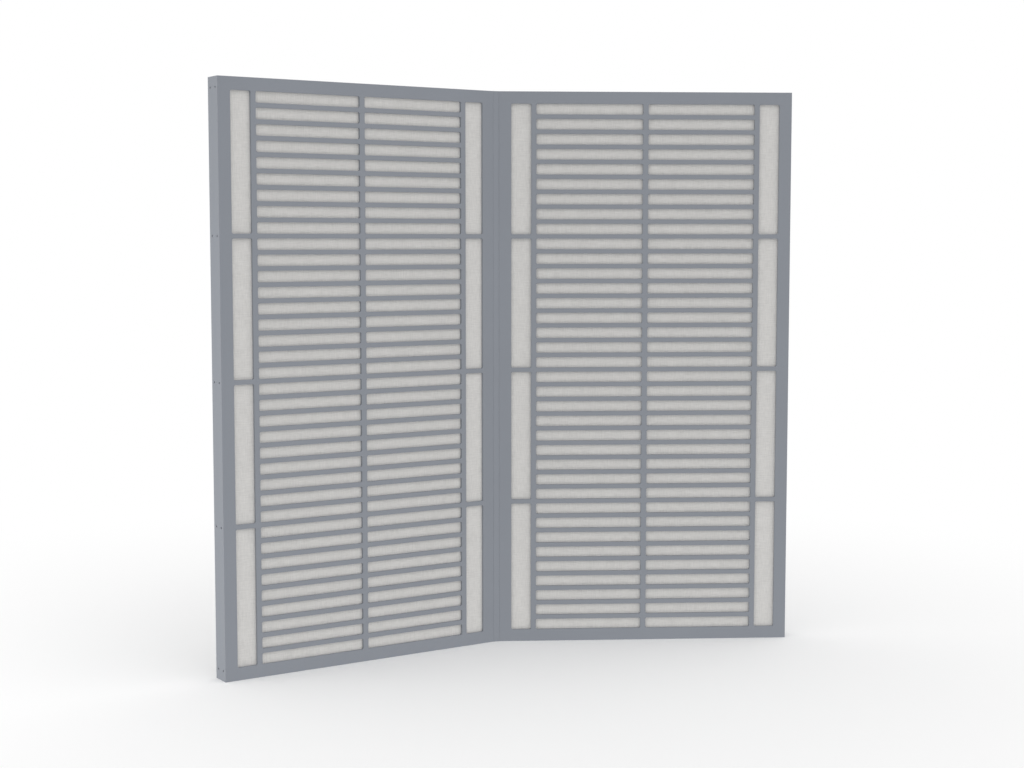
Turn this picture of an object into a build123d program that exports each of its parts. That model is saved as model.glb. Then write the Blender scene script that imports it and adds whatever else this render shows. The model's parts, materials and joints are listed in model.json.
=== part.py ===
from build123d import *
import os
from math import cos, sin, tan, radians

# Freestanding acoustic screen: two grille-faced leaves hinged to a wedge-shaped centre post.
# Z is up, the floor is Z = 0, and the two leaves open towards -Y in a V.
# Each leaf is drawn flat in its own frame first: X runs from the edge at the post to the free
# edge, Y runs from the front face to the back face, and Z is the height above the floor.

# Whole screen, in millimetres and degrees
height = 1800.0            # leaf and post, floor to top
leaf_width = 955.0         # one leaf, edge to edge
interior_angle = 150.0     # between the two front faces as the screen stands
post_front = 19.0          # front face of the wedge post
seam = 0.2                 # hairline joint between the post and each leaf

# Boards
sheet = 8.0                # grille sheet, front and back
core_space = 52.0          # between the two grille sheets
frame_board = 25.0         # stiles and closing strips
rail_board = 14.0          # cross rails, and the grille bars in front of them
fabric = 1.0               # cloth on each side of the core

# Openings in a grille sheet
slot_rows = 36
windows_high = 4           # tall side windows, one above the other
side_border = 40.0         # free edge of the sheet to the side window
side_window = 65.0
upright_bar = 16.5         # between the side window and the slots
middle_bar = 17.0          # between the two columns of slots
corner_radius = 5.0
edge_ease = 0.3            # small chamfer round every opening and sheet edge

# Frame screws, in pairs through each stile into each rail
screw_from_face = 16.5     # leaf face to the nearer screw of a pair
screw_head = 6.0
screw_head_height = 3.0
screw_shank = 4.0
screw_socket = 2.5         # across the flats
screw_socket_depth = 1.8
screw_sink = 6.0           # depth of the hole that hides the head
screw_bite = 40.0          # length held in the rail
screw_point = 3.0

# Butt hinges, let in at the back of each seam
hinge_height = 100.0
plate_thickness = 2.5
plate_width = 36.0
pin_diameter = 6.0
knuckles = 5               # first, third and fifth belong to the post
pin_head = 9.0
pin_head_height = 2.5
plate_screw = 4.0
plate_screw_head = 8.0
plate_screw_length = 18.0
plate_screw_inset = 12.0   # plate end to the first screw
plate_screw_stagger = 7.0  # each way from the plate's middle line
plate_screws = 4

# Clearances
head_clearance = 0.25      # round a sunk screw head
shank_clearance = 0.05     # round a screw shank
cone_clearance = 0.1       # under a countersunk head
pin_clearance = 0.05       # pin to knuckle bore, on the radius
knuckle_gap = 0.3          # between one knuckle and the next
knuckle_clearance = 0.4    # knuckle to the boards it swings past
mortise_ease = 0.2         # round the plate in its recess
core_ease = 0.5            # round each core slab, up and across
pilot_depth = 2.0          # empty hole beyond a screw's point

# Worked out from the sizes above
lean = (180.0 - interior_angle) / 2
lean_sin, lean_cos = sin(radians(lean)), cos(radians(lean))
thickness = core_space + 2 * sheet
end_border = frame_board + rail_board
pitch = (height - 2 * end_border + rail_board) / slot_rows
slot_height = pitch - rail_board
slot_length = (leaf_width - middle_bar) / 2 - side_border - side_window - upright_bar
rows_per_window = slot_rows // windows_high
window_pitch = rows_per_window * pitch
window_height = window_pitch - rail_board
rail_heights = [end_border - rail_board / 2 + i * window_pitch for i in range(windows_high + 1)]
inner_width = leaf_width - 2 * frame_board
screw_depths = [screw_from_face, thickness - screw_from_face]

knuckle_radius = pin_diameter / 2 + pin_clearance + plate_thickness
pin_proud = knuckle_radius + knuckle_clearance
pin_x = -seam / 2
pin_y = thickness + pin_proud
knuckle_length = (hinge_height - (knuckles - 1) * knuckle_gap) / knuckles
first_bay = rail_heights[0] + window_pitch / 2
last_bay = rail_heights[-1] - window_pitch / 2
hinge_places = {"lower": first_bay, "middle": (first_bay + last_bay) / 2, "upper": last_bay}

# Where the leaves stand: the screen's box is centred on X = 0 and Y = 0
leaf_corner_x = post_front / 2 + seam / lean_cos
pin_reach = pin_y * lean_cos - pin_x * lean_sin
front_y = (leaf_width * lean_sin - pin_reach - knuckle_radius) / 2
post_back_y = front_y + pin_reach - pin_proud
leaf_place = Pos(leaf_corner_x, front_y, 0) * Rot(0, 0, -lean)


def block(x_span, y_span, z_span):
    """A straight board between two values on each axis."""
    (x0, x1), (y0, y1), (z0, z1) = x_span, y_span, z_span
    middle = Pos((x0 + x1) / 2, (y0 + y1) / 2, (z0 + z1) / 2)
    return middle * Box(x1 - x0, y1 - y0, z1 - z0)


def turned(profile):
    """A solid turned about the X axis from points (distance along X, radius)."""
    return revolve(make_face(Polyline(*profile, close=True)), Axis.X)


def drilled(diameter, length):
    """A round cutter along +X from the origin."""
    return Pos(length / 2, 0, 0) * Rot(0, 90, 0) * Cylinder(diameter / 2, length)


def facing_back(shape):
    """The same shape driven the other way along X."""
    return Rot(0, 0, 180) * shape


def group(solids):
    """Separate solids kept together in one node."""
    return Compound([s for solid in solids for s in solid.solids()])


def opening_cutter(width, tall):
    """One rounded opening through a sheet, flared at the face at Y = 0."""
    outline = Plane.XZ * RectangleRounded(width, tall, corner_radius)
    mouth = Plane.XZ * RectangleRounded(
        width + 2 * edge_ease, tall + 2 * edge_ease, corner_radius + edge_ease
    )
    bore = extrude(outline, amount=sheet, dir=(0, 1, 0))
    return bore + extrude(mouth, amount=edge_ease, dir=(0, 1, 0), taper=45)


def slot_centres():
    """Centres of the short horizontal slots, in two columns."""
    inset = side_border + side_window + upright_bar + slot_length / 2
    for row in range(slot_rows):
        z = end_border + slot_height / 2 + row * pitch
        yield inset, z
        yield leaf_width - inset, z


def window_centres():
    """Centres of the tall windows, in a column at each side."""
    inset = side_border + side_window / 2
    for step in range(windows_high):
        z = end_border + window_height / 2 + step * window_pitch
        yield inset, z
        yield leaf_width - inset, z


def grille_sheet():
    """The pierced face sheet, its eased face at Y = 0."""
    board = block((0, leaf_width), (0, sheet), (0, height))
    board = chamfer(board.faces().sort_by(Axis.Y)[0].edges(), edge_ease)
    slot = opening_cutter(slot_length, slot_height)
    window = opening_cutter(side_window, window_height)
    cutters = [Pos(x, 0, z) * slot for x, z in slot_centres()]
    cutters += [Pos(x, 0, z) * window for x, z in window_centres()]
    return board - cutters


def back_sheet(front):
    """The same sheet on the other side of the leaf, let in for the hinge plates."""
    turned_round = mirror(front, about=Plane.XZ.offset(-thickness / 2))
    return turned_round - [stile_mortise(z) for z in hinge_places.values()]


def stile_mortise(z):
    """Recess for one hinge plate in the leaf's edge, open to the back."""
    reach = hinge_height / 2 + mortise_ease
    front = thickness - plate_width - mortise_ease
    return block((0, plate_thickness), (front, thickness), (z - reach, z + reach))


def post_mortise(z):
    """Recess for one hinge plate in the post's side, open to the back."""
    reach = hinge_height / 2 + mortise_ease
    front = post_plate_back() - plate_width - mortise_ease
    return block((-seam - plate_thickness, -seam), (front, pin_y), (z - reach, z + reach))


def post_plate_back():
    """Back edge of the plate on the post, level with the post's slanting back."""
    return pin_y - (pin_proud + (seam / 2 + plate_thickness) * lean_sin) / lean_cos


def plate_screw_places(z, plate_back):
    """Staggered screw places (Y, Z) on one hinge plate."""
    step = (hinge_height - 2 * plate_screw_inset) / (plate_screws - 1)
    middle = plate_back - plate_width / 2
    for i in range(plate_screws):
        side = 1 if i % 2 else -1
        yield middle + side * plate_screw_stagger, z - hinge_height / 2 + plate_screw_inset + i * step


def countersunk_screw():
    """Hinge screw along +X, its flat head level with X = 0."""
    head_depth = (plate_screw_head - plate_screw) / 2
    body = turned([
        (0, 0),
        (0, plate_screw_head / 2),
        (head_depth, plate_screw / 2),
        (plate_screw_length - screw_point, plate_screw / 2),
        (plate_screw_length, 0),
    ])
    slot_wide, slot_deep = plate_screw_head / 8, head_depth / 2
    half = plate_screw_head / 2
    return body - block((0, slot_deep), (-half, half), (-slot_wide / 2, slot_wide / 2))


def countersunk_hole():
    """Room for a hinge screw in its plate and in the wood behind it."""
    wide = plate_screw_head / 2 + cone_clearance
    narrow = plate_screw / 2 + shank_clearance
    return turned([
        (0, 0),
        (0, wide),
        (wide - narrow, narrow),
        (plate_screw_length + pilot_depth, narrow),
        (plate_screw_length + pilot_depth, 0),
    ])


def stile_plate_holes(z):
    """Screw holes of one hinge plate on a leaf."""
    return [Pos(0, y, h) * countersunk_hole() for y, h in plate_screw_places(z, thickness)]


def post_plate_holes(z):
    """Screw holes of one hinge plate on the post."""
    hole = facing_back(countersunk_hole())
    return [Pos(-seam, y, h) * hole for y, h in plate_screw_places(z, post_plate_back())]


def stile_plate_screws():
    """All hinge screws that go into one leaf."""
    screw = countersunk_screw()
    return group(
        Pos(0, y, h) * screw
        for z in hinge_places.values()
        for y, h in plate_screw_places(z, thickness)
    )


def post_plate_screws():
    """All hinge screws that go into one side of the post."""
    screw = facing_back(countersunk_screw())
    return group(
        Pos(-seam, y, h) * screw
        for z in hinge_places.values()
        for y, h in plate_screw_places(z, post_plate_back())
    )


def hinge_plate(z, x_span, plate_back, own_knuckles):
    """One flat plate with its own knuckles curled round the pin line."""
    bottom = z - hinge_height / 2
    plate = block(x_span, (plate_back - plate_width, plate_back), (bottom, bottom + hinge_height))
    for i in own_knuckles:
        low = bottom + i * (knuckle_length + knuckle_gap)
        web = block(x_span, (plate_back, pin_y), (low, low + knuckle_length))
        barrel = Pos(pin_x, pin_y, low + knuckle_length / 2) * Cylinder(knuckle_radius, knuckle_length)
        plate += web + barrel
    bore = Cylinder(pin_diameter / 2 + pin_clearance, 2 * hinge_height)
    return plate - Pos(pin_x, pin_y, z) * bore


def stile_plate(z):
    """Hinge plate on the leaf, with the even knuckles."""
    plate = hinge_plate(z, (0, plate_thickness), thickness, range(1, knuckles, 2))
    return plate - stile_plate_holes(z)


def post_plate(z):
    """Hinge plate on the post, with the odd knuckles."""
    span = (-seam - plate_thickness, -seam)
    plate = hinge_plate(z, span, post_plate_back(), range(0, knuckles, 2))
    return plate - post_plate_holes(z)


def hinge_pin(z):
    """Pin with a button at each end, resting on the top knuckle."""
    pin = Cylinder(pin_diameter / 2, hinge_height + 2 * mortise_ease)
    button = fillet(Cylinder(pin_head / 2, pin_head_height).edges(), pin_head_height / 3)
    top = Pos(0, 0, (hinge_height + pin_head_height) / 2)
    bottom = Pos(0, 0, -(hinge_height + pin_head_height) / 2 - mortise_ease)
    return Pos(pin_x, pin_y, z) * (pin + top * button + bottom * button)


def frame_screw():
    """Frame screw along +X: the head's seat is at X = 0."""
    shank_length = frame_board - screw_sink + screw_bite
    body = turned([
        (-screw_head_height, 0),
        (-screw_head_height, screw_head / 2),
        (0, screw_head / 2),
        (0, screw_shank / 2),
        (shank_length - screw_point, screw_shank / 2),
        (shank_length, 0),
    ])
    hexagon = Plane.YZ * RegularPolygon(screw_socket / 2, 6, major_radius=False)
    socket = Pos(-screw_head_height, 0, 0) * extrude(hexagon, amount=screw_socket_depth)
    return body - socket


def frame_screw_hole():
    """Room for a frame screw, from the edge of the leaf at X = 0."""
    sink = drilled(screw_head + 2 * head_clearance, screw_sink)
    shank = drilled(screw_shank + 2 * shank_clearance, frame_board + screw_bite + pilot_depth)
    return sink + shank


def at_rails(shape, x):
    """A shape repeated at each pair of frame screws along one edge."""
    return [Pos(x, y, z) * shape for z in rail_heights for y in screw_depths]


def outer_stile():
    """Upright board at the free edge."""
    board = block(
        (leaf_width - frame_board, leaf_width), (sheet, sheet + core_space), (0, height)
    )
    return board - at_rails(facing_back(frame_screw_hole()), leaf_width)


def inner_stile():
    """Upright board at the post, let in for the hinge plates."""
    board = block((0, frame_board), (sheet, sheet + core_space), (0, height))
    board -= at_rails(frame_screw_hole(), 0)
    board -= [stile_mortise(z) for z in hinge_places.values()]
    return board - [hole for z in hinge_places.values() for hole in stile_plate_holes(z)]


def closing_strip(z_low):
    """Board that closes the leaf's top or bottom between the stiles."""
    return block(
        (frame_board, leaf_width - frame_board),
        (sheet, sheet + core_space),
        (z_low, z_low + frame_board),
    )


def cross_rail(z):
    """Rail behind a full-width bar of the grilles."""
    board = block(
        (frame_board, leaf_width - frame_board),
        (sheet + fabric, thickness - sheet - fabric),
        (z - rail_board / 2, z + rail_board / 2),
    )
    hole = frame_screw_hole()
    ends = [(hole, 0), (facing_back(hole), leaf_width)]
    return board - [Pos(x, y, z) * shape for shape, x in ends for y in screw_depths]


def core_slab(z_low):
    """Sound-absorbing slab between two rails."""
    return block(
        (frame_board + core_ease, leaf_width - frame_board - core_ease),
        (sheet + fabric, thickness - sheet - fabric),
        (z_low + core_ease, z_low + window_height - core_ease),
    )


def fabric_sheet(y_low):
    """Cloth stretched inside the stiles and closing strips, clamped by a grille."""
    return block(
        (frame_board, leaf_width - frame_board),
        (y_low, y_low + fabric),
        (frame_board, height - frame_board),
    )


def frame_screws():
    """All screws that hold one leaf's frame together."""
    screw = frame_screw()
    inner = at_rails(screw, screw_sink)
    outer = at_rails(facing_back(screw), leaf_width - screw_sink)
    return group(inner + outer)


def leaf_nodes():
    """Every piece of one leaf, with its hinges, in the leaf's own frame."""
    front = grille_sheet()
    nodes = {
        "front_grille": front,
        "back_grille": back_sheet(front),
        "front_fabric": fabric_sheet(sheet),
        "back_fabric": fabric_sheet(thickness - sheet - fabric),
        "outer_stile": outer_stile(),
        "inner_stile": inner_stile(),
        "bottom_strip": closing_strip(0),
        "top_strip": closing_strip(height - frame_board),
        "frame_screws": frame_screws(),
        "hinge_screws": stile_plate_screws(),
    }
    for number, z in enumerate(rail_heights, start=1):
        nodes[f"rail_{number}"] = cross_rail(z)
    for number, z in enumerate(rail_heights[:-1], start=1):
        nodes[f"core_{number}"] = core_slab(z + rail_board / 2)
    for place, z in hinge_places.items():
        nodes[f"{place}_hinge_leaf_plate"] = stile_plate(z)
        nodes[f"{place}_hinge_post_plate"] = post_plate(z)
        nodes[f"{place}_hinge_pin"] = hinge_pin(z)
    return nodes


def both_sides(shape):
    """A shape of the right leaf's frame where it stands, and its mirror image."""
    right = leaf_place * shape
    return right, mirror(right, about=Plane.YZ)


def centre_post():
    """Wedge post whose slanting sides stop the leaves at the standing angle."""
    depth = post_back_y - front_y
    half_front, half_back = post_front / 2, post_front / 2 + depth * tan(radians(lean))
    outline = make_face(Polyline(
        (-half_front, front_y),
        (half_front, front_y),
        (half_back, post_back_y),
        (-half_back, post_back_y),
        close=True,
    ))
    post = extrude(outline, amount=height)
    post = chamfer(post.edges().filter_by(Axis.Z), edge_ease)
    for z in hinge_places.values():
        for cutter in [post_mortise(z), *post_plate_holes(z)]:
            post -= list(both_sides(cutter))
    return post


def all_nodes():
    """Every piece of the screen, standing at its rest angle."""
    nodes = {"centre_post": centre_post()}
    for name, shape in leaf_nodes().items():
        nodes[f"right_{name}"], nodes[f"left_{name}"] = both_sides(shape)
    nodes["post_hinge_screws"] = group(both_sides(post_plate_screws()))
    return nodes


os.makedirs("parts", exist_ok=True)
for node, shape in all_nodes().items():
    export_step(shape, f"parts/{node}.step")
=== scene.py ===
import json
from math import cos, pi, radians, sin

import bpy
from mathutils import Matrix, Vector


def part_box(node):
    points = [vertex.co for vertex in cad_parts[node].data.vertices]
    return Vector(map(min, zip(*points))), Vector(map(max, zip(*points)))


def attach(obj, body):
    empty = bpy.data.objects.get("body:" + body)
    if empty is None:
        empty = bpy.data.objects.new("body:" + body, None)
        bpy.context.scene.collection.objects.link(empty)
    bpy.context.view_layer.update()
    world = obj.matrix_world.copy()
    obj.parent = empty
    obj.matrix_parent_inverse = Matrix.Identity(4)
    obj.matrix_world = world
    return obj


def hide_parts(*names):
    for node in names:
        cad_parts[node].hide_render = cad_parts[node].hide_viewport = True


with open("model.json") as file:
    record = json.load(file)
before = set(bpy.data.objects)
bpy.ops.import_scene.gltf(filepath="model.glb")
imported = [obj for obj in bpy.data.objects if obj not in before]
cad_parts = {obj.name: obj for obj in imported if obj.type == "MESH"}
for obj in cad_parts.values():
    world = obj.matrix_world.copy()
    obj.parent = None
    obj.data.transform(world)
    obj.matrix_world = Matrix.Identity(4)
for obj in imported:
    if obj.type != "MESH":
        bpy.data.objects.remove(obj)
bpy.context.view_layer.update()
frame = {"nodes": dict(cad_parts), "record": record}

# Sizes of the screen, in metres
millimetre = 0.001
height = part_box("centre_post")[1].z
lean = radians(15.0)                  # each leaf is turned this far from a straight wall
leaf_width = 955 * millimetre
post_front = 19 * millimetre
seam = 0.2 * millimetre               # between the post and each leaf
leaf_corner_x = post_front / 2 + seam / cos(lean)
leaf_thick = 68 * millimetre
face_board = 8 * millimetre           # grille sheet in front of the cloth
stile_board = 25 * millimetre
bar = 14 * millimetre                 # bars between the slots
side_border = 40 * millimetre
side_window = 65 * millimetre
upright_bar = 16.5 * millimetre
middle_bar = 17 * millimetre
slot_rows = 36
rows_per_window = 9

# Places that the frame gives
front_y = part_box("centre_post")[0].y
lowest_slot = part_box("right_rail_1")[1].z
slot_pitch = (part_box("right_rail_5")[0].z + bar - lowest_slot) / slot_rows
slot_height = slot_pitch - bar
slot_length = (leaf_width - middle_bar) / 2 - side_border - side_window - upright_bar

# Cloth
cloth_width = leaf_width - 2 * stile_board
cloth_height = height - 2 * stile_board
cloth_room = 1.0 * millimetre         # between the grille and the rails
cloth_thick = 0.8 * millimetre
slot_swell = 0.7 * millimetre         # how far the cloth stands out in a slot
window_swell = 1.0 * millimetre
thread = 0.9 * millimetre             # from one thread to the next
pattern_step_across = 1.37            # the weave starts elsewhere on each sheet
pattern_step_up = 2.11

# Fold lines of the cloth, as shares of the stretch that they cross
slot_end_folds = (0, 0.15, 0.35, 0.6, 1)
slot_row_folds = (0, 0.1, 0.25, 0.5, 0.75, 0.9, 1)
window_folds = (0, 0.07, 0.18, 0.33, 0.5, 0.67, 0.82, 0.93, 1)

# Studio floor, with its lengths in metres
floor_radius = 30
floor_corners = 96
fade_from = 1.2                       # the floor fades from here to plain white
fade_to = 3.2
floor_colour = 0.965
floor_glow = 0.95                     # even light that a wide lit floor gives back to the screen
plain_white = (1, 1, 1, 1)

# How bright each part of the room is
room_colour = (0.8, 0.8, 0.8, 1)
wall_light = 0.595
ceiling_light = 0.67
right_light = 0.20
canopy_light = 0.58
canopy_focus = 4.0
canopy_direction = (0, -0.64, 0.77)

# Where the photograph was taken from, in metres and degrees
camera_place = (-1.7040, -5.2085, 1.3207)
camera_dip = 4.796
camera_turn = 18.374
camera_lens = 60.1                    # millimetres, on a sensor 36 mm wide
camera_sensor = 36
camera_reach = 200


def deselect_all():
    """Nothing is selected or being edited."""
    if bpy.context.object and bpy.context.object.mode != "OBJECT":
        bpy.ops.object.mode_set(mode="OBJECT")
    bpy.ops.object.select_all(action="DESELECT")


def choose(piece):
    """Only this piece is selected, and it is the active one."""
    deselect_all()
    piece.select_set(True)
    bpy.context.view_layer.objects.active = piece


class NodeWork:
    """Nodes of a material or of the room, added and joined by short calls."""

    def __init__(self, tree):
        self.tree = tree

    def node(self, kind, **settings):
        """A new node with its settings."""
        made = self.tree.nodes.new(kind)
        for name, value in settings.items():
            setattr(made, name, value)
        return made

    def join(self, output, socket):
        """A link from one node to the next."""
        self.tree.links.new(output, socket)

    def work(self, sum_kind, first, second=None):
        """One sum on one or two values."""
        maths = self.node("ShaderNodeMath", operation=sum_kind)
        for socket, value in zip(maths.inputs, (first, second)):
            if isinstance(value, (int, float)):
                socket.default_value = value
            elif value is not None:
                self.join(value, socket)
        return maths.outputs["Value"]

    def light(self, kind, colour, strength):
        """Light of one colour: a Background in the room, an Emission on a surface."""
        made = self.node(kind)
        made.inputs["Color"].default_value = colour
        if isinstance(strength, (int, float)):
            made.inputs["Strength"].default_value = strength
        else:
            self.join(strength, made.inputs["Strength"])
        return made.outputs[0]

    def blend(self, share, first, second):
        """Two finishes blended by a share from 0 to 1."""
        mix = self.node("ShaderNodeMixShader")
        self.join(share, mix.inputs["Fac"])
        self.join(first, mix.inputs[1])
        self.join(second, mix.inputs[2])
        return mix.outputs["Shader"]

    def in_view(self):
        """1 for what is seen directly, in a reflection or through glass, and 0 for what only lights."""
        rays = self.node("ShaderNodeLightPath").outputs
        seen = self.work("MAXIMUM", rays["Is Camera Ray"], rays["Is Glossy Ray"])
        return self.work("MAXIMUM", seen, rays["Is Transmission Ray"])


class Recipe(NodeWork):
    """A material being mixed from nodes, with its shader at hand."""

    def __init__(self, name):
        self.material = bpy.data.materials.new(name)
        self.material.use_nodes = True
        super().__init__(self.material.node_tree)
        self.shader = self.tree.nodes["Principled BSDF"]

    def even(self, socket, value):
        """The shader gets one value all over the surface."""
        self.shader.inputs[socket].default_value = value

    def vary(self, socket, output):
        """The shader gets a value that changes over the surface."""
        self.join(output, self.shader.inputs[socket])

    def place(self, spot="Object", stretch=(1, 1, 1)):
        """Coordinates of the piece, stretched."""
        where = self.node("ShaderNodeTexCoord")
        mapping = self.node("ShaderNodeMapping")
        mapping.inputs["Scale"].default_value = stretch
        self.join(where.outputs[spot], mapping.inputs["Vector"])
        return mapping.outputs["Vector"]

    def clouds(self, where, size, detail, rough=0.5):
        """Soft noise whose blotches are about one size across."""
        noise = self.node("ShaderNodeTexNoise")
        noise.inputs["Scale"].default_value = 1 / size
        noise.inputs["Detail"].default_value = detail
        noise.inputs["Roughness"].default_value = rough
        self.join(where, noise.inputs["Vector"])
        return noise.outputs["Fac"]

    def spread(self, value, low, high, from_low=0.3, from_high=0.7):
        """A value moved to another range."""
        ranged = self.node("ShaderNodeMapRange")
        ranged.inputs["From Min"].default_value = from_low
        ranged.inputs["From Max"].default_value = from_high
        ranged.inputs["To Min"].default_value = low
        ranged.inputs["To Max"].default_value = high
        self.join(value, ranged.inputs["Value"])
        return ranged.outputs["Result"]

    def tint(self, share, dark, light):
        """A colour between two, by a share from 0 to 1."""
        mix = self.node("ShaderNodeMix", data_type="RGBA")
        mix.inputs["A"].default_value = (*dark, 1)
        mix.inputs["B"].default_value = (*light, 1)
        self.join(share, mix.inputs["Factor"])
        return mix.outputs["Result"]

    def shades(self, share, colour, darkest, lightest):
        """One colour that runs from darker to lighter by a share from 0 to 1."""
        return self.tint(share, shade(colour, darkest), shade(colour, lightest))

    def relief(self, heights, deep, under=None):
        """Bumps of a real depth in metres."""
        bump = self.node("ShaderNodeBump")
        bump.inputs["Distance"].default_value = deep
        self.join(heights, bump.inputs["Height"])
        if under is not None:
            self.join(under, bump.inputs["Normal"])
        return bump.outputs["Normal"]


def shade(colour, share):
    """A colour made lighter or darker by a share."""
    return tuple(channel * share for channel in colour)


def satin_paint():
    """Blue-grey paint rolled on smooth board."""
    paint = Recipe("satin_blue_grey_paint")
    colour = (0.2535, 0.272, 0.306)
    where = paint.place()
    broad = paint.clouds(where, size=0.35, detail=2.0)
    stipple = paint.clouds(where, size=0.004, detail=2.0)
    peel = paint.clouds(where, size=0.0022, detail=1.0)
    share = paint.work("ADD", paint.spread(broad, 0.0, 0.7), paint.spread(stipple, 0.0, 0.3))
    paint.vary("Base Color", paint.shades(share, colour, darkest=0.975, lightest=1.025))
    paint.vary("Roughness", paint.spread(stipple, low=0.40, high=0.50))
    paint.vary("Normal", paint.relief(peel, deep=0.00002))
    paint.even("Specular IOR Level", 0.35)
    return paint.material


def bare_board():
    """Unpainted fibre board of the cross rails."""
    board = Recipe("bare_fibre_board")
    colour = (0.46, 0.34, 0.22)
    where = board.place(stretch=(1, 1, 4))
    fibres = board.clouds(where, size=0.006, detail=6.0, rough=0.7)
    share = board.spread(fibres, low=0, high=1)
    board.vary("Base Color", board.shades(share, colour, darkest=0.8, lightest=1.15))
    board.vary("Normal", board.relief(fibres, deep=0.0002))
    board.even("Roughness", 0.85)
    return board.material


def fibre_felt():
    """Pressed grey felt of the sound-absorbing slabs."""
    felt = Recipe("pressed_grey_felt")
    colour = (0.46, 0.46, 0.45)
    fibres = felt.clouds(felt.place(), size=0.0025, detail=8.0, rough=0.75)
    share = felt.spread(fibres, low=0, high=1)
    felt.vary("Base Color", felt.shades(share, colour, darkest=0.75, lightest=1.2))
    felt.vary("Normal", felt.relief(fibres, deep=0.0006))
    felt.even("Roughness", 0.95)
    felt.even("Sheen Weight", 0.15)
    return felt.material


def satin_steel():
    """Hinge steel with a fine upright brushing."""
    steel = Recipe("brushed_hinge_steel")
    dark = (0.50, 0.51, 0.52)
    light = (0.62, 0.63, 0.64)
    where = steel.place(stretch=(1, 1, 0.04))
    strokes = steel.clouds(where, size=0.0006, detail=3.0)
    share = steel.spread(strokes, low=0, high=1)
    steel.vary("Base Color", steel.tint(share, dark, light))
    steel.vary("Roughness", steel.spread(strokes, low=0.26, high=0.40))
    steel.vary("Normal", steel.relief(strokes, deep=0.00001))
    steel.even("Metallic", 1.0)
    return steel.material


def blackened_steel():
    """Dark oiled finish of the frame screws."""
    black = Recipe("blackened_screw_steel")
    dark = (0.014, 0.014, 0.015)
    light = (0.028, 0.027, 0.027)
    patches = black.clouds(black.place(), size=0.002, detail=4.0)
    share = black.spread(patches, low=0, high=1)
    black.vary("Base Color", black.tint(share, dark, light))
    black.vary("Roughness", black.spread(patches, low=0.45, high=0.65))
    black.even("Specular IOR Level", 0.3)
    return black.material


def plain_weave(cloth, where):
    """Heights of warp and weft threads that pass over and under each other."""
    apart = cloth.node("ShaderNodeSeparateXYZ")
    cloth.join(where, apart.inputs["Vector"])
    across = cloth.work("MULTIPLY", apart.outputs["X"], pi / thread)
    along = cloth.work("MULTIPLY", apart.outputs["Y"], pi / thread)
    warp = cloth.work("ABSOLUTE", cloth.work("SINE", across))
    weft = cloth.work("ABSOLUTE", cloth.work("SINE", along))
    over = cloth.work("SINE", cloth.work("ADD", across, pi / 2))
    under = cloth.work("SINE", cloth.work("ADD", along, pi / 2))
    turns = cloth.work("MULTIPLY", over, under)
    crossing = cloth.spread(turns, low=0.0, high=1.0, from_low=-0.6, from_high=0.6)
    weave = cloth.node("ShaderNodeMix", data_type="FLOAT")
    cloth.join(crossing, weave.inputs["Factor"])
    cloth.join(warp, weave.inputs["A"])
    cloth.join(weft, weave.inputs["B"])
    return weave.outputs["Result"]


def thick_threads(cloth):
    """Slubs, the thicker stretches of thread, lying both ways."""
    lying = cloth.place("UV", stretch=(0.12, 1, 1))
    upright = cloth.place("UV", stretch=(1, 0.12, 1))
    slubs_across = cloth.clouds(lying, size=0.0035, detail=3.0)
    slubs_along = cloth.clouds(upright, size=0.0035, detail=3.0)
    return cloth.work(
        "ADD",
        cloth.work("MULTIPLY", slubs_across, 0.5),
        cloth.work("MULTIPLY", slubs_along, 0.5),
    )


def woven_cloth():
    """Fine off-white cloth: warp and weft threads, with slubs."""
    cloth = Recipe("off_white_woven_cloth")
    colour = (0.676, 0.666, 0.649)
    where = cloth.place("UV")
    heights = plain_weave(cloth, where)
    slubs = thick_threads(cloth)
    cloudy = cloth.clouds(where, size=0.05, detail=3.0)
    from_weave = cloth.spread(heights, low=0.0, high=0.3, from_low=0.0, from_high=1.0)
    from_slubs = cloth.spread(slubs, low=0.0, high=0.55, from_low=0.35, from_high=0.65)
    from_clouds = cloth.spread(cloudy, low=0.0, high=0.15)
    share = cloth.work("ADD", cloth.work("ADD", from_weave, from_slubs), from_clouds)
    cloth.vary("Base Color", cloth.shades(share, colour, darkest=0.865, lightest=1.125))
    fluff = cloth.relief(slubs, deep=0.0003)
    cloth.vary("Normal", cloth.relief(heights, deep=0.00018, under=fluff))
    cloth.even("Roughness", 0.9)
    cloth.even("Specular IOR Level", 0.2)
    cloth.even("Sheen Weight", 0.12)
    cloth.even("Sheen Roughness", 0.5)
    return cloth.material


finishes = {
    "frame_paint": satin_paint(),
    "rail_board": bare_board(),
    "felt_core": fibre_felt(),
    "hinge_steel": satin_steel(),
    "black_screw": blackened_steel(),
    "face_fabric": woven_cloth(),
}


def finish_cad_pieces():
    """Every piece of the frame gets the finish that its slot names."""
    for row in frame["record"]["subparts"]:
        piece = frame["nodes"][row["node"]]
        piece.data.materials.clear()
        piece.data.materials.append(finishes[row["material_slot"]])


finish_cad_pieces()


def slot_spans():
    """Left and right ends of the two columns of slots, along the leaf."""
    near = side_border + side_window + upright_bar
    return [(near, near + slot_length), (leaf_width - near - slot_length, leaf_width - near)]


def window_spans():
    """Left and right ends of the two columns of tall windows."""
    return [
        (side_border, side_border + side_window),
        (leaf_width - side_border - side_window, leaf_width - side_border),
    ]


def row_spans():
    """Lower and upper edges of the rows of slots."""
    lows = [lowest_slot + i * slot_pitch for i in range(slot_rows)]
    return [(low, low + slot_height) for low in lows]


def tall_spans():
    """Lower and upper edges of the tall windows."""
    rows = row_spans()
    starts = range(0, slot_rows, rows_per_window)
    return [(rows[i][0], rows[i + rows_per_window - 1][1]) for i in starts]


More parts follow.
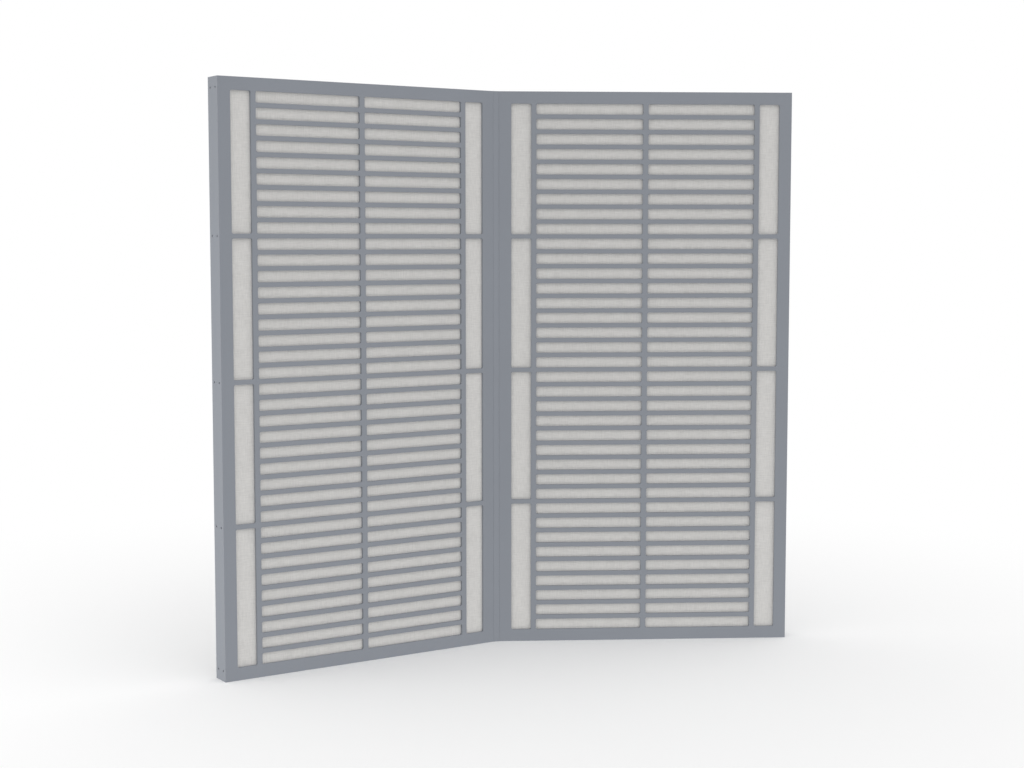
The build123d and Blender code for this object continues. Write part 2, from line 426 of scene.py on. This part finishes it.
def rise(place, span, run):
    """From 0 at the edges of a span to 1 a run inside it."""
    inside = min(place - span[0], span[1] - place)
    share = max(0.0, min(1.0, inside / run))
    return sin(share * pi / 2)


def swell(x, z):
    """How far the cloth stands out at a place on the leaf."""
    for columns, rows, most, run in (
        (slot_spans(), row_spans(), slot_swell, slot_height / 2),
        (window_spans(), tall_spans(), window_swell, side_window / 2),
    ):
        for column in columns:
            for row in rows:
                if column[0] < x < column[1] and row[0] < z < row[1]:
                    return most * rise(x, column, run) * rise(z, row, run)
    return 0.0


def cloth_lines_across():
    """Where the cloth needs a fold line, along the leaf."""
    lines = set()
    run = slot_height / 2
    for low, high in slot_spans():
        lines.update(low + run * share for share in slot_end_folds)
        lines.update(high - run * share for share in slot_end_folds)
        lines.add((low + high) / 2)
    for low, high in window_spans():
        lines.update(low + (high - low) * share for share in window_folds)
    return sorted(lines)


def cloth_lines_up():
    """Where the cloth needs a fold line, up the leaf."""
    lines = set()
    for low, high in row_spans():
        lines.update(low + (high - low) * share for share in slot_row_folds)
    return sorted(lines)


def cut_cloth():
    """One cloth sheet, flat at Y = 0 and swelling to -Y, with its threads laid out on a UV map."""
    deselect_all()
    bpy.ops.mesh.primitive_plane_add(
        size=1, location=(leaf_width / 2, 0, height / 2), rotation=(pi / 2, 0, 0)
    )
    sheet = bpy.context.object
    sheet.scale = (cloth_width, cloth_height, 1)
    bpy.ops.object.transform_apply(location=True, rotation=True, scale=True)
    bpy.ops.object.mode_set(mode="EDIT")
    for x in cloth_lines_across():
        bpy.ops.mesh.select_all(action="SELECT")
        bpy.ops.mesh.bisect(plane_co=(x, 0, 0), plane_no=(1, 0, 0))
    for z in cloth_lines_up():
        bpy.ops.mesh.select_all(action="SELECT")
        bpy.ops.mesh.bisect(plane_co=(0, 0, z), plane_no=(0, 0, 1))
    bpy.ops.object.mode_set(mode="OBJECT")
    threads = sheet.data.uv_layers[0]
    threads.name = "threads"
    for loop in sheet.data.loops:
        spot = sheet.data.vertices[loop.vertex_index].co
        threads.data[loop.index].uv = (spot.x, spot.z)
    for vertex in sheet.data.vertices:
        vertex.co.y = -swell(vertex.co.x, vertex.co.z)
    shell = sheet.modifiers.new("thickness", "SOLIDIFY")
    shell.thickness = cloth_thick
    shell.offset = -1
    bpy.ops.object.modifier_apply(modifier=shell.name)
    bpy.ops.object.shade_smooth()
    return sheet


def leaf_place(side):
    """Takes a place on a leaf to where it stands: side is 1 on the right and -1 on the left."""
    stands = Matrix.Translation((leaf_corner_x, front_y, 0)) @ Matrix.Rotation(-lean, 4, "Z")
    return Matrix.Diagonal((side, 1, 1, 1)) @ stands


def copy_cloth(pattern, name):
    """A cloth sheet of its own, with its own mesh."""
    piece = pattern.copy()
    piece.data = pattern.data.copy()
    piece.name = name
    piece.data.name = name
    bpy.context.scene.collection.objects.link(piece)
    return piece


def hang_cloth(pattern, leaf, side, face, shift):
    """A copy of the cloth on one face of one leaf, its weave shifted."""
    piece = copy_cloth(pattern, f"{leaf}_{face}_cloth")
    deep = face_board + (cloth_room - cloth_thick) / 2
    turn = Matrix.Identity(4)
    if face == "back":
        deep = leaf_thick - deep
        turn = Matrix.Diagonal((1, -1, 1, 1))
    piece.data.transform(leaf_place(side) @ Matrix.Translation((0, deep, 0)) @ turn)
    for spot in piece.data.uv_layers["threads"].data:
        spot.uv += Vector(shift)
    choose(piece)
    bpy.ops.object.mode_set(mode="EDIT")
    bpy.ops.mesh.select_all(action="SELECT")
    bpy.ops.mesh.normals_make_consistent(inside=False)
    bpy.ops.object.mode_set(mode="OBJECT")
    piece.data.materials.clear()
    piece.data.materials.append(finishes["face_fabric"])
    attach(piece, f"{leaf}_leaf")
    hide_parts(f"{leaf}_{face}_fabric")


def hang_all_cloth():
    """Four sheets: both faces of both leaves."""
    pattern = cut_cloth()
    places = [("right", 1, "front"), ("right", 1, "back"), ("left", -1, "front"), ("left", -1, "back")]
    for number, (leaf, side, face) in enumerate(places):
        shift = (pattern_step_across * number, pattern_step_up * number)
        hang_cloth(pattern, leaf, side, face, shift)
    bpy.data.objects.remove(pattern)


hang_all_cloth()


def floor_finish():
    """Pale floor that shows the shadow near the screen and plain white far from it."""
    pale = Recipe("pale_studio_floor")
    pale.even("Base Color", (floor_colour, floor_colour, floor_colour, 1))
    pale.even("Roughness", 0.9)
    pale.even("Specular IOR Level", 0.0)
    rays = pale.node("ShaderNodeLightPath").outputs
    glow = pale.light("ShaderNodeEmission", plain_white, floor_glow)
    ground = pale.blend(rays["Is Diffuse Ray"], pale.shader.outputs["BSDF"], glow)
    away = pale.node("ShaderNodeVectorMath", operation="LENGTH")
    pale.join(pale.place(), away.inputs[0])
    far = pale.node("ShaderNodeMapRange", interpolation_type="SMOOTHSTEP")
    far.inputs["From Min"].default_value = fade_from
    far.inputs["From Max"].default_value = fade_to
    pale.join(away.outputs["Value"], far.inputs["Value"])
    white = pale.light("ShaderNodeEmission", plain_white, 1.0)
    share = pale.work("MULTIPLY", pale.in_view(), far.outputs["Result"])
    surface = pale.blend(share, ground, white)
    pale.join(surface, pale.tree.nodes["Material Output"].inputs["Surface"])
    return pale.material


def lay_floor():
    """A wide round studio floor."""
    deselect_all()
    bpy.ops.mesh.primitive_circle_add(vertices=floor_corners, radius=floor_radius, fill_type="NGON")
    floor = bpy.context.object
    floor.name = "studio_floor"
    floor.data.materials.append(floor_finish())


lay_floor()


def light_room():
    """Soft white room with its brightest part above and in front, seen by the camera as plain white."""
    world = bpy.data.worlds.new("soft_white_room")
    bpy.context.scene.world = world
    world.use_nodes = True
    world.node_tree.nodes.clear()
    room = NodeWork(world.node_tree)
    where = room.node("ShaderNodeTexCoord").outputs["Generated"]
    apart = room.node("ShaderNodeSeparateXYZ")
    room.join(where, apart.inputs["Vector"])
    above = room.work("MAXIMUM", apart.outputs["Z"], 0.0)
    right = room.work("MAXIMUM", apart.outputs["X"], 0.0)
    facing = room.node("ShaderNodeVectorMath", operation="DOT_PRODUCT")
    facing.inputs[1].default_value = canopy_direction
    room.join(where, facing.inputs[0])
    towards = room.work("MAXIMUM", facing.outputs["Value"], 0.0)
    canopy = room.work("POWER", towards, canopy_focus)
    bright = room.work("ADD", wall_light, room.work("MULTIPLY", above, ceiling_light))
    bright = room.work("ADD", bright, room.work("MULTIPLY", right, right_light))
    bright = room.work("ADD", bright, room.work("MULTIPLY", canopy, canopy_light))
    walls = room.light("ShaderNodeBackground", room_colour, bright)
    white = room.light("ShaderNodeBackground", plain_white, 1.0)
    out = room.node("ShaderNodeOutputWorld")
    room.join(room.blend(room.in_view(), walls, white), out.inputs["Surface"])


light_room()


def hang_lamp(name, place, aim, size, power):
    """A square soft lamp turned towards a point."""
    data = bpy.data.lights.new(name, "AREA")
    data.shape = "SQUARE"
    data.size = size
    data.energy = power
    lamp = bpy.data.objects.new(name, data)
    bpy.context.scene.collection.objects.link(lamp)
    lamp.location = place
    lamp.rotation_euler = (Vector(aim) - Vector(place)).to_track_quat("-Z", "Y").to_euler()


hang_lamp("left_softbox", place=(-4.2, 0.4, 0.3), aim=(0, 0, 0.3), size=1.6, power=36)


def set_camera():
    """The camera stands where the photograph was taken from."""
    data = bpy.data.cameras.new("photo_camera")
    data.sensor_width = camera_sensor
    data.lens = camera_lens
    data.clip_end = camera_reach
    camera = bpy.data.objects.new("photo_camera", data)
    bpy.context.scene.collection.objects.link(camera)
    camera.location = camera_place
    camera.rotation_euler = (radians(90 - camera_dip), 0, radians(-camera_turn))
    bpy.context.scene.camera = camera


set_camera()

bpy.context.scene.view_settings.view_transform = "Standard"
